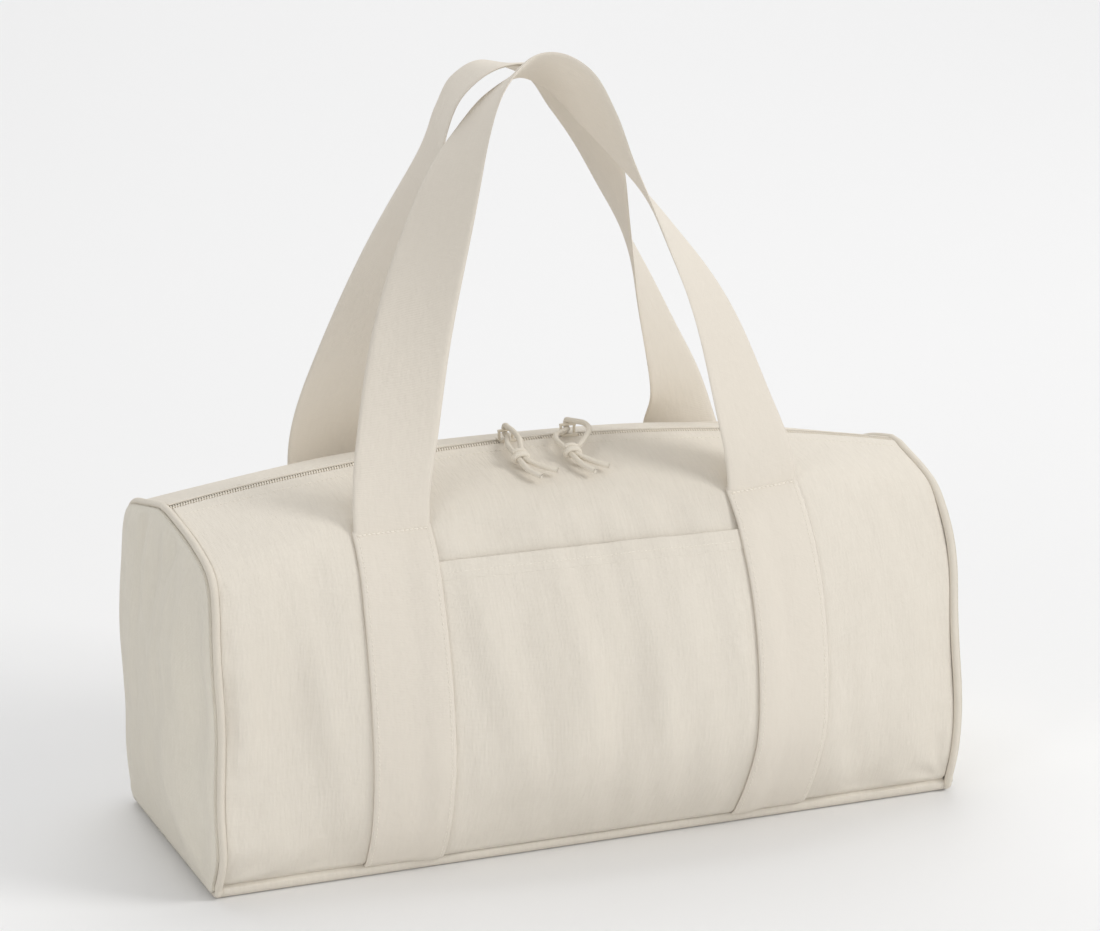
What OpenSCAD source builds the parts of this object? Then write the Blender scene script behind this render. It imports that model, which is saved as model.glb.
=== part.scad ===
// Barrel bag of natural cotton canvas, with two webbing handles, a patch pocket and a two-way zip.
// Millimetres. X runs along the bag, Y from its front to its back, and Z up.
// The origin is the middle of the underside.

/* [Body] */
// Length between the middles of the two end seams
body_len = 500; // [440:1:560]
// Height of the zip line at its highest point
zip_h = 245; // [235:1:265]
// Depth of the filled body
belly_depth = 250; // [235:1:265]
// Depth of the base between its two long seams
base_depth = 180; // [165:1:195]
// Height at which the long base seams run
base_turn_up = 8; // [7:0.5:12]
// Radius of the base panel's long corners
base_corner_r = 6; // [4:0.5:7]
// How far each end panel swells out past its seam
end_swell = 14; // [8:1:30]
// Thickness of the canvas
canvas_t = 1.2; // [0.8:0.1:1.6]
// Diameter of the piping round each end seam
piping_d = 5; // [4:0.1:7]
// Diameter of the cord inside the piping
piping_cord_d = 2.6; // [2:0.1:3]

/* [Zip] */
// Radius of the long arc that the zip line follows
zip_arc_r = 1330; // [1200:10:1600]
// How far the highest point of the zip line lies to the left of the middle
zip_peak_off = 25; // [0:1:40]
// Width of the gap between the two folded edges beside the zip
zip_gap_w = 13; // [12:0.5:18]
// Width of each half of the zip tape
tape_w = 16; // [12:0.5:20]
// Thickness of the zip tape
tape_t = 0.8; // [0.5:0.1:1]
// Width of the closed zip coil
coil_w = 5.8; // [5:0.1:6.5]
// Height of the zip coil
coil_h = 2; // [1.5:0.1:2.4]
// Length of a slider
slider_len = 11; // [10:0.5:14]
// Width of a slider
slider_w = 8.4; // [8:0.1:9.5]
// Wall thickness of a slider
slider_t = 1.2; // [1:0.1:1.4]
// Diameter of the bar that a slider's pull hangs on
bar_d = 1.8; // [1.4:0.1:2.2]
// Distance of the left slider from the middle of the bag, towards the left
left_slider_off = 26; // [22:1:60]
// Distance of the right slider from the middle of the bag, towards the right
right_slider_off = 16; // [14:1:40]
// Diameter of the pull cords
pull_cord_d = 3.6; // [3:0.1:3.8]

/* [Webbing] */
// Width of the webbing
web_w = 50; // [40:1:54]
// How much farther to the right the back straps lie than the front ones
back_strap_shift = 6; // [0:1:10]
// Thickness of the webbing
web_t = 2; // [1.5:0.1:2.4]
// Distance of the left straps from the middle of the bag
left_strap_off = 130; // [120:1:140]
// Distance of the right straps from the middle of the bag
right_strap_off = 119; // [110:1:130]
// How far the stitched line, where the sewn straps end and the handles begin, lies below the zip's
// highest point
strap_top_down = 23; // [20:1:28]
// Height of the handles' middle line above the stitched line
handle_rise = 265; // [240:1:300]
// How far in front of the zip the front handle's middle line comes at the top
front_top_y = 10; // [8:1:16]
// How far behind the zip the back handle's middle line comes at the top
back_top_y = 25; // [23:1:30]
// How much lower the back handle's middle line is at the top
back_handle_down = 4; // [2:1:8]

/* [Pocket] */
// How far the pocket's mouth lies below the zip's highest point
pocket_top_down = 45; // [35:5:65]
// Room inside the pocket at its fullest
pocket_room = 8; // [6:0.5:10]
// Height of the pocket's stitched hem
hem_h = 14; // [8:1:20]
// How far the pocket's sides run under the straps
pocket_tuck = 8; // [4:1:14]

/* [Hidden] */

canvas = "wheat";
webbing = "bisque";
cord_colour = "cornsilk";
slider_colour = "silver";

// Room left between pieces that are sewn or laid against each other
seam_gap = 0.3;
// Room between layers that lie over each other on the curved walls
lay_gap = 0.5;
// Room between the top of a sewn strap and the rounded end of its handle
hinge_gap = 0.6;
// Running room between a slider and the coil
slider_gap = 0.4;
// Room between the piping and the surface under the bag
piping_lift = 0.5;
// Height of the thread that shows on a stitched line, its width, and how far it lies below the handle
thread_h = 0.5;
thread_w = 1;
stitch_down = 4;

front = -1;
back = 1;
left = -1;
right = 1;

// Half of the cross-section at five places along the bag, as shares of the half depth and of the
// zip line's height there. The rows run from the left end to the right end.
height_shares = [0.15, 0.30, 0.45, 0.60, 0.73, 0.84, 0.925, 0.965];
depth_shares = [
    [0.810, 0.800, 0.795, 0.810, 0.815, 0.785, 0.690, 0.470],
    [0.840, 0.910, 0.900, 0.845, 0.770, 0.690, 0.570, 0.450],
    [0.865, 0.985, 0.990, 0.935, 0.830, 0.700, 0.550, 0.380],
    [0.870, 1.000, 1.015, 0.970, 0.880, 0.750, 0.595, 0.440],
    [0.785, 0.795, 0.770, 0.720, 0.670, 0.600, 0.500, 0.360]];

// How steeply the pocket's room grows in from its sides and up from the base
pocket_swell = 4;
pocket_rise = 2;
// Room between the ends of the hem and the straps
hem_inset = 4;

// Steps of the model's surfaces
end_steps = 5;
middle_steps = 9;
up_steps = 18;
piping_sides = 8;
cord_sides = 6;
cord_rings_sides = 8;
corner_steps = 3;
web_steps = 4;
// Rows of the wall over which a front strap comes down from the pocket's edge to the wall
strap_slope_rows = 0.9;
handle_steps = 76;

seam_x = body_len / 2;
strap_top_h = zip_h - strap_top_down;
pocket_h = zip_h - pocket_top_down;
half_base = base_depth / 2;
half_belly = belly_depth / 2;
piping_r = piping_d / 2;
// Where the wall panels end beside the piping
wall_end = seam_x - piping_r - seam_gap;
last_row = len(height_shares) + 1;

// A smooth curve through a list of values or points, read at a place u that counts list entries
function entry(list, i) = list[max(0, min(len(list) - 1, i))];
function bend(a, b, c, d, t) =
    b + t / 2 * (c - a + t * (2 * a - 5 * b + 4 * c - d + t * (3 * (b - c) + d - a)));
function curve(list, u) =
    let (i = max(0, min(floor(u), len(list) - 2)))
    bend(entry(list, i - 1), entry(list, i), entry(list, i + 1), entry(list, i + 2), u - i);
function unit(v) = v / norm(v);
function mix(a, b, t) = a + (b - a) * t;
function ease(t) = let (c = max(0, min(1, t))) c * c * (3 - 2 * c);
function steps(from, to, n) = [for (i = [0:n]) mix(from, to, i / n)];

// Height of the zip line over a place along the bag
function zip_z(x) = zip_h - zip_arc_r + sqrt(pow(zip_arc_r, 2) - pow(x + zip_peak_off, 2));
// Tilt of the zip line there
function zip_tilt(x) = asin((x + zip_peak_off) / zip_arc_r);

// Outer corner points of the back wall's section, from the base seam up to the zip
function section(x) =
    let (row = (x / seam_x + 1) * (len(depth_shares) - 1) / 2, shares = curve(depth_shares, row))
    concat(
        [[half_base, base_turn_up + seam_gap]],
        [for (i = [0:len(height_shares) - 1]) [shares[i] * half_belly, height_shares[i] * zip_z(x)]],
        [[zip_gap_w / 2, zip_z(x)]]);
// A point on the back wall, u rows up from the base seam, and a height off over its outer face
function wall_at(x, u, off) =
    let (
        points = section(x),
        step = 1 / up_steps,
        here = curve(points, u),
        run = unit(curve(points, min(last_row, u + step)) - curve(points, max(0, u - step))))
    [x, here[0] + off * run[1], here[1] - off * run[0]];
// The row at which a layer off over the wall reaches a height, found by halving
function row_at(x, z, off = 0, low = 0, high = last_row, n = 14) =
    let (mid = (low + high) / 2)
    n == 0 ? mid : wall_at(x, mid, off)[2] < z ? row_at(x, z, off, mid, high, n - 1)
        : row_at(x, z, off, low, mid, n - 1);

function quad(a, b, c, d) = [[a, b, c], [a, c, d]];
function joined(lists) = [for (l = lists) for (e = l) e];

// A closed skin between two grids of points, each a list of columns along X
module skin(outer, inner) {
    nx = len(outer);
    nu = len(outer[0]);
    shift = nx * nu;
    o = function(i, j) i * nu + j;
    k = function(i, j) shift + i * nu + j;
    faces = joined(concat(
        [for (i = [0:nx - 2], j = [0:nu - 2]) concat(
            quad(o(i, j), o(i + 1, j), o(i + 1, j + 1), o(i, j + 1)),
            quad(k(i, j), k(i, j + 1), k(i + 1, j + 1), k(i + 1, j)))],
        [for (i = [0:nx - 2]) concat(
            quad(o(i + 1, 0), o(i, 0), k(i, 0), k(i + 1, 0)),
            quad(o(i, nu - 1), o(i + 1, nu - 1), k(i + 1, nu - 1), k(i, nu - 1)))],
        [for (j = [0:nu - 2]) concat(
            quad(o(0, j), o(0, j + 1), k(0, j + 1), k(0, j)),
            quad(o(nx - 1, j + 1), o(nx - 1, j), k(nx - 1, j), k(nx - 1, j + 1)))]));
    polyhedron(points = joined(concat(outer, inner)), faces = faces);
}

// A solid through a list of rings with equal numbers of points, closed at both ends or onto itself
module sweep(rings, loop = false) {
    n = len(rings[0]);
    m = len(rings);
    last = loop ? m - 1 : m - 2;
    sides = joined([for (i = [0:last], j = [0:n - 1])
        let (a = i * n, b = (i + 1) % m * n, e = (j + 1) % n) quad(a + j, a + e, b + e, b + j)]);
    ends = loop ? [] : [[for (j = [n - 1:-1:0]) j], [for (j = [0:n - 1]) (m - 1) * n + j]];
    polyhedron(points = joined(rings), faces = concat(sides, ends));
}

// Pieces on the walls are drawn for the back and mirrored to the front
module on_wall(side) {
    mirror([0, side == front ? 1 : 0, 0]) children();
}

// Wall panels

// The panels' columns fall on the edges of the straps
function strap_x(wall, side) =
    (side == left ? -left_strap_off : right_strap_off) + (wall == back ? back_strap_shift : 0);
function without_last(list) = [for (i = [0:len(list) - 2]) list[i]];
function columns(wall) =
    let (
        a = strap_x(wall, left) - web_w / 2,
        b = strap_x(wall, left) + web_w / 2,
        c = strap_x(wall, right) - web_w / 2,
        d = strap_x(wall, right) + web_w / 2)
    concat(
        without_last(steps(-wall_end, a, end_steps)),
        without_last(steps(a, b, web_steps)),
        without_last(steps(b, c, middle_steps)),
        without_last(steps(c, d, web_steps)),
        steps(d, wall_end, end_steps));

module wall_panel(side) {
    xs = columns(side);
    us = steps(0, last_row, up_steps);
    color(canvas) on_wall(side) skin(
        [for (x = xs) [for (u = us) wall_at(x, u, 0)]],
        [for (x = xs) [for (u = us) wall_at(x, u, -canvas_t)]]);
}

module front_panel() {
    wall_panel(front);
}

module back_panel() {
    wall_panel(back);
}

// The base panel is flat, with its two long edges turned up to the seams.
module base_outline(inset) {
    translate([inset - half_base, base_corner_r])
        square([base_depth - 2 * inset, base_turn_up]);
    translate([base_corner_r - half_base, inset])
        square([base_depth - 2 * base_corner_r, base_turn_up]);
    for (s = [front, back])
        translate([s * (half_base - base_corner_r), base_corner_r])
            circle(r = base_corner_r - inset, $fn = 48);
}

module base_panel() {
    color(canvas) rotate([90, 0, 90]) translate([0, 0, -wall_end]) linear_extrude(2 * wall_end)
        intersection() {
            difference() {
                base_outline(0);
                base_outline(canvas_t);
            }
            translate([-half_base, 0]) square([base_depth, base_turn_up]);
        }
}

// End panels and piping

// The closed line of an end seam, as points across the bag's section
function half_seam(x) = [for (u = steps(0, last_row, up_steps)) let (p = curve(section(x), u)) p];
function base_bend(s) =
    [for (a = steps(0, 90, corner_steps)) [
        s * (half_base - base_corner_r + base_corner_r * cos(a)),
        base_corner_r + (piping_r + piping_lift - base_corner_r) * sin(a)]];
function reversed(list) = [for (i = [len(list) - 1:-1:0]) list[i]];
function mirrored(list) = [for (p = list) [-p[0], p[1]]];
function end_line(side) =
    let (up = half_seam(side * seam_x))
    concat(up, reversed(mirrored(up)), base_bend(front), reversed(base_bend(back)));
function middle_of(line) = [0, (max([for (p = line) p[1]]) + min([for (p = line) p[1]])) / 2];

// Rings of an end panel, as shares of the way from its middle to its seam, and how flat its middle is
end_reach_shares = [0.15, 0.4, 0.62, 0.8, 0.92, 1];
end_flatness = 2.4;

module end_panel(side) {
    line = end_line(side);
    mid = middle_of(line);
    reach = end_reach_shares;
    rim = seam_x + piping_r + seam_gap;
    ring = function(share, thick) [for (p = line)
        let (q = mix(mid, p, share))
        [side * (rim + end_swell * (1 - pow(share, end_flatness)) + thick), q[0], q[1]]];
    rings = concat([for (s = reach) ring(s, canvas_t)], [for (s = reversed(reach)) ring(s, 0)]);
    color(canvas) sweep([for (r = rings) side == left ? reversed(r) : r]);
}

module left_end_panel() {
    end_panel(left);
}

module right_end_panel() {
    end_panel(right);
}

// A tube round an end seam. The bore is the tube's inside, or zero for a solid cord.
module seam_tube(side, radius, bore, sides) {
    line = end_line(side);
    n = len(line);
    ring = function(i, r) let (
            run = unit(line[(i + 1) % n] - line[(i + n - 1) % n]),
            out = [run[1], -run[0]])
        [for (a = [0:sides - 1]) let (t = 360 * (a + 1 / 2) / sides) [
            side * seam_x + r * cos(t),
            line[i][0] + out[0] * r * sin(t),
            line[i][1] + out[1] * r * sin(t)]];
    difference() {
        sweep([for (i = [n - 1:-1:0]) ring(i, radius)], loop = true);
        if (bore > 0) sweep([for (i = [n - 1:-1:0]) ring(i, bore)], loop = true);
    }
}

module piping(side) {
    color(canvas) seam_tube(side, piping_r, piping_cord_d / 2 + seam_gap, piping_sides);
}

module piping_cord(side) {
    color(cord_colour) seam_tube(side, piping_cord_d / 2, 0, cord_sides);
}

module left_piping() {
    piping(left);
}

module right_piping() {
    piping(right);
}

module left_piping_cord() {
    piping_cord(left);
}

module right_piping_cord() {
    piping_cord(right);
}

// Straps sewn to the walls. The front pair lies over the pocket's side edges.

function pocket_row(x) = row_at(x, pocket_h);
// Height of a strap's inner face over the wall. It comes down to the wall above the pocket.
function strap_lift(wall, x, u) =
    let (past = (u - pocket_row(x)) / strap_slope_rows)
    lay_gap + (wall == back ? 0 : (canvas_t + lay_gap) * (1 - ease(past)));

module strap(wall, side) {
    mid = strap_x(wall, side);
    across = steps(mid - web_w / 2, mid + web_w / 2, web_steps);
    rows = steps(0, 1, up_steps);
    layer = function(off) [for (x = across) let (top = row_at(x, strap_top_h, lay_gap + off))
        [for (r = rows) wall_at(x, r * top, strap_lift(wall, x, r * top) + off)]];
    color(webbing) on_wall(wall) skin(layer(web_t), layer(0));
}

module front_left_strap() {
    strap(front, left);
}

module front_right_strap() {
    strap(front, right);
}

module back_left_strap() {
    strap(back, left);
}

module back_right_strap() {
    strap(back, right);
}

// The rows of thread across the top of each sewn strap
module stitch_row(wall, side) {
    mid = strap_x(wall, side);
    half = web_w / 2 - 2 * thread_w;
    layer = function(off) [for (x = steps(mid - half, mid + half, 2))
        [for (z = [strap_top_h - stitch_down - thread_w, strap_top_h - stitch_down])
            let (u = row_at(x, z)) wall_at(x, u, strap_lift(wall, x, u) + web_t + off)]];
    on_wall(wall) skin(layer(seam_gap + thread_h), layer(seam_gap));
}

module strap_stitching() {
    color(cord_colour) for (wall = [front, back], side = [left, right]) stitch_row(wall, side);
}

// Patch pocket between the front straps, open at the top

pocket_from = strap_x(front, left) + web_w / 2;
pocket_to = strap_x(front, right) - web_w / 2;

// How far the pocket stands off the wall: flat under the straps and along the base, full at its mouth
function pocket_off(x, share) =
    let (from_side = min(x - pocket_from, pocket_to - x) / (pocket_to - pocket_from))
    lay_gap + pocket_room * ease(from_side * pocket_swell) * ease(share * pocket_rise);

module pocket_layer(xs, from_share, rows, low, high) {
    layer = function(off) [for (x = xs) let (top = pocket_row(x))
        [for (s = steps(from_share, 1, rows)) wall_at(x, s * top, pocket_off(x, s) + off)]];
    color(canvas) on_wall(front) skin(layer(high), layer(low));
}

module front_pocket() {
    xs = concat(
        [pocket_from - pocket_tuck],
        steps(pocket_from, pocket_to, middle_steps),
        [pocket_to + pocket_tuck]);
    pocket_layer(xs, 0, up_steps, 0, canvas_t);
}

// The hem is the second layer of canvas, folded over along the pocket's mouth. It stops at the straps.
module pocket_hem() {
    xs = [for (x = steps(pocket_from, pocket_to, middle_steps))
        max(pocket_from + hem_inset, min(pocket_to - hem_inset, x))];
    low = canvas_t + lay_gap;
    pocket_layer(xs, 1 - hem_h / pocket_h, 2, low, low + canvas_t);
}

// Zip. Each part follows the same long arc.

// Depth of the tape's upper face under the zip line
tape_down = canvas_t + seam_gap;
// How far the tape falls from the folded edge to its own edge, to stay under the canvas
tape_fall = tape_w / 5;
coil_top = coil_h + seam_gap - tape_down;
zip_from = zip_tilt(-wall_end);
zip_to = zip_tilt(wall_end);

// A profile of points, each a distance to the back and a height over the zip line, along the arc
module along_zip(side, profile) {
    translate([-zip_peak_off, 0, zip_h - zip_arc_r]) rotate([90, 0, 0]) rotate([0, 0, 90 - zip_to])
        rotate_extrude(angle = zip_to - zip_from, $fn = 360)
            polygon([for (p = profile) [zip_arc_r + p[1], -side * p[0]]]);
}

module zip_tape(side) {
    near = seam_gap / 2;
    edge = zip_gap_w / 2;
    color(canvas) along_zip(side, [
        [near, -tape_down], [edge, -tape_down], [tape_w, -tape_down - tape_fall],
        [tape_w, -tape_down - tape_fall - tape_t], [edge, -tape_down - tape_t],
        [near, -tape_down - tape_t]]);
}

module zip_coil(side) {
    near = seam_gap / 2;
    bevel = coil_h / 4;
    color(cord_colour) along_zip(side, [
        [near, coil_top - coil_h], [coil_w / 2, coil_top - coil_h], [coil_w / 2, coil_top - bevel],
        [coil_w / 2 - bevel, coil_top], [near, coil_top]]);
}

module front_zip_tape() {
    zip_tape(front);
}

module back_zip_tape() {
    zip_tape(back);
}

module front_zip_coil() {
    zip_coil(front);
}

module back_zip_coil() {
    zip_coil(back);
}

// Puts a piece on the zip line over a place along the bag
module on_zip(x) {
    translate([-zip_peak_off, 0, zip_h - zip_arc_r]) rotate([0, zip_tilt(x), 0])
        translate([0, 0, zip_arc_r]) children();
}

slider_top = coil_top + slider_gap + slider_t;
// Height of the opening under the bar, which the cord passes through
bar_room = pull_cord_d + 2 * slider_gap;
bar_h = slider_top + bar_room + bar_d / 2;
post_x = slider_len / 2 - bar_d / 2;

module slider(x) {
    inner_w = coil_w + 2 * slider_gap;
    skirt = coil_h;
    color(slider_colour) on_zip(x) union() {
        difference() {
            translate([-slider_len / 2, -slider_w / 2, slider_top - slider_t - skirt])
                cube([slider_len, slider_w, slider_t + skirt]);
            translate([-slider_len, -inner_w / 2, slider_top - slider_t - 2 * skirt])
                cube([2 * slider_len, inner_w, 2 * skirt]);
        }
        for (s = [left, right]) translate([s * post_x, 0, slider_top - slider_t / 2])
            cylinder(d = bar_d, h = bar_h - slider_top + slider_t / 2, $fn = 24);
        translate([-slider_len / 2, 0, bar_h]) rotate([0, 90, 0])
            cylinder(d = bar_d, h = slider_len, $fn = 24);
    }
}

module left_slider() {
    slider(-left_slider_off);
}

module right_slider() {
    slider(right_slider_off);
}

// Pull cords. Each is one cord, folded round the slider's bar and knotted.
// The routes are measured from the middle of the bar, and each of them starts or ends in the knot.

left_knot = [-5, -38, -6.6];
left_loop = [left_knot, [-6.6, -29, -5.2], [-5.8, -19, -4], [-2.4, -9, -3.2], [0, -3, -3],
    [0, 0, -3], [0, 2.2, -2.2], [0, 3.1, 0], [0, 2.2, 2.2], [0, 0, 3], [0, -3, 2.8],
    [1, -9, 2], [1.6, -19, -0.4], [-0.4, -29, -3.4], left_knot];
left_tails = [
    [left_knot, [-5.6, -45, -9.2], [-4.6, -51, -11.4], [-2, -56, -12.8], [1, -60, -14]],
    [left_knot, [-1, -43, -8.4], [4, -48, -10.4], [9, -52, -11.8], [14, -55, -12.8]]];
right_knot = [-12, -38, -6.6];
right_loop = [right_knot, [-14.6, -29, -5.2], [-15, -19, -4], [-11, -9, -3.4], [-4, -4, -3],
    [0, 0, -3], [0, 2.2, -2.2], [0, 3.1, 0], [0, 2.2, 2.2], [0, 0, 3], [2.4, -3, 3],
    [8, -9, 2.6], [7.6, -18, 0.4], [-2.4, -30, -4], right_knot];
right_tails = [
    [right_knot, [-12, -45, -9.2], [-10.4, -51, -11.4], [-7.6, -56, -12.8], [-4.6, -60, -14]],
    [right_knot, [-8, -43, -8.4], [-3, -48, -10.4], [2, -52, -11.8], [7, -55, -12.8]]];
// Diameter of the knot
knot_d = 9.4;

// A round cord with a ring at each point of its route
module cord(route) {
    n = len(route);
    sweep([for (i = [0:n - 1])
        let (
            run = unit(route[min(n - 1, i + 1)] - route[max(0, i - 1)]),
            over = unit(cross([1, 0, 0], run)),
            aside = cross(run, over))
        [for (j = [0:cord_rings_sides - 1])
            let (t = 360 * j / cord_rings_sides)
            route[i] + (aside * cos(t) + over * sin(t)) * pull_cord_d / 2]]);
}

module pull_cord(x, knot, loop, tails) {
    color(cord_colour) on_zip(x) translate([0, 0, bar_h]) union() {
        cord(loop);
        for (tail = tails) cord(tail);
        translate(knot) sphere(d = knot_d, $fn = 32);
    }
}

module left_pull_cord() {
    pull_cord(-left_slider_off, left_knot, left_loop, left_tails);
}

module right_pull_cord() {
    pull_cord(right_slider_off, right_knot, right_loop, right_tails);
}

// Handles. Each is the free loop of one webbing, hinged along the stitched line.
// Places on the loop are shares of the strap's distance from the middle and of the rise.

front_x_shares = [
    -1, -1, -1, -0.9925, -0.96, -0.81, -0.57, -0.41, -0.27, -0.09, 0.10, 0.24, 0.37, 0.56,
    0.78, 0.94, 0.985, 1, 1, 1];
back_x_shares = [
    -1, -1, -1, -0.985, -0.94, -0.74, -0.52, -0.46, -0.37, -0.18, 0.12, 0.28, 0.42, 0.57, 0.74,
    0.945, 0.988, 1, 1, 1];
rise_shares = [
    0, 0.02, 0.05, 0.09, 0.15, 0.43, 0.73, 0.87, 0.955, 1, 0.96, 0.87, 0.76, 0.60, 0.40, 0.15,
    0.09, 0.05, 0.02, 0];
// Turn of the webbing out of the loop's plane, in degrees
front_turns = [
    0, 0, 0, 3, 8, 28, 58, 80, 96, 104, 107, 99, 82, 62, 42, 24, 12, 4, 0, 0];
back_turns = [
    0, 0, 0, 5, 14, 42, 84, 98, 103, 108, 120, 124, 114, 92, 61, 32, 15, 5, 0, 0];

// The hinge lines lie just above the sewn straps and just over their outer faces, where the webbing
// folds when a handle is laid down
hinge_z = strap_top_h + web_t / 2 + hinge_gap;
hinge_off = lay_gap + 3 * web_t / 2;
function hinge_y(wall) = max([for (side = [left, right], s = [-1, 0, 1])
    let (x = strap_x(wall, side) + s * web_w / 2)
    wall_at(x, row_at(x, hinge_z, hinge_off), hinge_off)[1]]);
// Angles at which the half-round ends of a handle are drawn
tip_angles = [80, 60, 40, 20];

module handle(wall, top_y, rise, x_shares, turns) {
    from_y = hinge_y(wall);
    lean = atan((from_y - top_y) / rise);
    out = [0, cos(lean), sin(lean)];
    last = len(x_shares) - 1;
    place = function(u) let (s = curve(x_shares, u), up = curve(rise_shares, u))
        [abs(s) * strap_x(wall, s < 0 ? left : right), mix(from_y, top_y, up), hinge_z + rise * up];
    run = function(u) let (step = 1 / up_steps)
        unit(place(min(last, u + step)) - place(max(0, u - step)));
    // A row across one face of the webbing, moved along it and thinned to round off its ends
    row = function(face, u, moved, thin) let (
            side = unit(cross(run(u), out)),
            turn = curve(turns, u),
            wide = side * cos(turn) + out * sin(turn) * wall,
            thick = cross(run(u), wide))
        [for (c = steps(-1, 1, web_steps))
            place(u) + run(u) * moved + wide * c * web_w / 2 + thick * face * thin * web_t / 2];
    layer = function(face) concat(
        [for (a = tip_angles) row(face, 0, -sin(a) * web_t / 2, cos(a))],
        [for (u = steps(0, last, handle_steps)) row(face, u, 0, 1)],
        [for (a = reversed(tip_angles)) row(face, last, sin(a) * web_t / 2, cos(a))]);
    color(webbing) on_wall(wall) skin(layer(-1), layer(1));
}

module front_handle() {
    handle(front, front_top_y, handle_rise, front_x_shares, front_turns);
}

module back_handle() {
    handle(back, back_top_y, handle_rise - back_handle_down, back_x_shares, back_turns);
}

base_panel();
front_panel();
back_panel();
left_end_panel();
right_end_panel();
left_piping();
right_piping();
left_piping_cord();
right_piping_cord();
front_pocket();
pocket_hem();
front_zip_tape();
back_zip_tape();
front_zip_coil();
back_zip_coil();
front_left_strap();
front_right_strap();
back_left_strap();
back_right_strap();
strap_stitching();
front_handle();
back_handle();
left_slider();
right_slider();
left_pull_cord();
right_pull_cord();
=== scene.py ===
import math

import bpy
import numpy as np
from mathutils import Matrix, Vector


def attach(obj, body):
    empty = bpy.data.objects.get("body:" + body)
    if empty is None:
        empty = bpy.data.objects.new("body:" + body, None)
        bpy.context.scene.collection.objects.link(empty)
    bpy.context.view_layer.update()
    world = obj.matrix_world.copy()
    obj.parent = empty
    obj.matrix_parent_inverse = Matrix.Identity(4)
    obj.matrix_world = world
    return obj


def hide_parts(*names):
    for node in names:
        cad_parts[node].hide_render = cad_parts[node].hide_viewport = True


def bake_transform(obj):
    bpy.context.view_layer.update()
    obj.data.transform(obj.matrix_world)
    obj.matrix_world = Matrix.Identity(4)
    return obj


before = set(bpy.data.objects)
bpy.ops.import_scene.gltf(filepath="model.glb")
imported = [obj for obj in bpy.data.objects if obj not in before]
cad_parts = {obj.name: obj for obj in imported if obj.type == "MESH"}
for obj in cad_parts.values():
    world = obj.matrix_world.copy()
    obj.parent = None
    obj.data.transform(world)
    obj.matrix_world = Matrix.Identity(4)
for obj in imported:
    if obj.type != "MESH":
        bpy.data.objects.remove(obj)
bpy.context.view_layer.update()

# Barrel bag of natural canvas. Sizes below are in millimetres, and pieces are made in metres.
# X runs along the bag, Y from the front to the back, Z up.
MM = 0.001
FRONT, BACK = -1, 1
LEFT, RIGHT = -1, 1
END_WORD = {LEFT: "left", RIGHT: "right"}

SEAM_X = 250.0
ZIP_H = 245.0
HALF_BELLY = 125.0
HALF_BASE = 90.0
BASE_TURN_UP = 8.0
BASE_R = 6.0
END_SWELL = 14.0
CANVAS_T = 1.2
PIPING_R = 2.5
PIPING_CORD_R = 1.3
ARC_R = 1330.0
ZIP_PEAK = 25.0
ZIP_GAP = 13.0
WEB_W = 50.0
WEB_T = 2.0
STRAP_TOP = 222.0
HINGE_Z = 223.6
HINGE_Y = {FRONT: 77.28, BACK: 76.83}
STRAP_X = {(FRONT, LEFT): -130.0, (FRONT, RIGHT): 119.0, (BACK, LEFT): -124.0, (BACK, RIGHT): 125.0}
RISE = {FRONT: 265.0, BACK: 261.0}
TOP_Y = {FRONT: 10.0, BACK: 25.0}
POCKET_H = 200.0
POCKET_ROOM = 4.5
HEM_H = 14.0
SLIDER_X = {LEFT: -26.0, RIGHT: 16.0}
BAR_H = 7.7
CORD_D = 3.6
PIPING_GAP = 0.3
BASE_SEAM_GAP = 0.3
WALL_END = SEAM_X - PIPING_R - PIPING_GAP
UNDER_PIPING = 1.2
COIL_UNDER_PIPING = 0.8
# How far the cloth beside the zip stands up, and how far it reaches over the coil.
ZIP_LIP = 0.9
ZIP_COVER = 2.1

# The wall's section at five places along the bag, as shares of the half depth and of the zip's height.
# The back's shoulders have sagged a little more than the front's.
HEIGHTS = [0.15, 0.30, 0.45, 0.60, 0.73, 0.84, 0.925, 0.965]
DEPTHS = {
    FRONT: [[0.810, 0.802, 0.803, 0.822, 0.832, 0.804, 0.714, 0.475],
            [0.840, 0.910, 0.900, 0.845, 0.770, 0.690, 0.570, 0.450],
            [0.865, 0.985, 0.990, 0.935, 0.830, 0.700, 0.550, 0.380],
            [0.870, 1.000, 1.015, 0.970, 0.880, 0.750, 0.595, 0.440],
            [0.785, 0.795, 0.770, 0.720, 0.670, 0.600, 0.500, 0.360]],
    BACK: [[0.810, 0.800, 0.795, 0.810, 0.800, 0.730, 0.580, 0.330],
           [0.840, 0.910, 0.900, 0.845, 0.770, 0.680, 0.545, 0.405],
           [0.865, 0.985, 0.990, 0.935, 0.830, 0.700, 0.550, 0.380],
           [0.870, 1.000, 1.015, 0.970, 0.880, 0.745, 0.575, 0.410],
           [0.785, 0.795, 0.770, 0.720, 0.660, 0.575, 0.455, 0.300]]}
# Places on a section are counted in rows: 0 is the base seam, and LAST is the zip.
LAST = len(HEIGHTS) + 1
ROW_STEP = 1 / 18


# Curves and small helpers

def spline(a, b, c, d, t):
    """The place t of the way from b to c on a smooth curve through four points."""
    return b + t / 2 * (c - a + t * (2 * a - 5 * b + 4 * c - d + t * (3 * (b - c) + d - a)))


def curve(values, u):
    """A smooth curve through a list of values or points, read at places u that count list entries."""
    v = np.asarray(values, float)
    u = np.asarray(u, float)
    n = len(v)
    i = np.clip(np.floor(u).astype(int), 0, n - 2)
    t = u - i
    a, b, c, d = (v[np.clip(i + k, 0, n - 1)] for k in (-1, 0, 1, 2))
    return spline(a, b, c, d, t.reshape(t.shape + (1,) * (b.ndim - t.ndim)))


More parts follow.
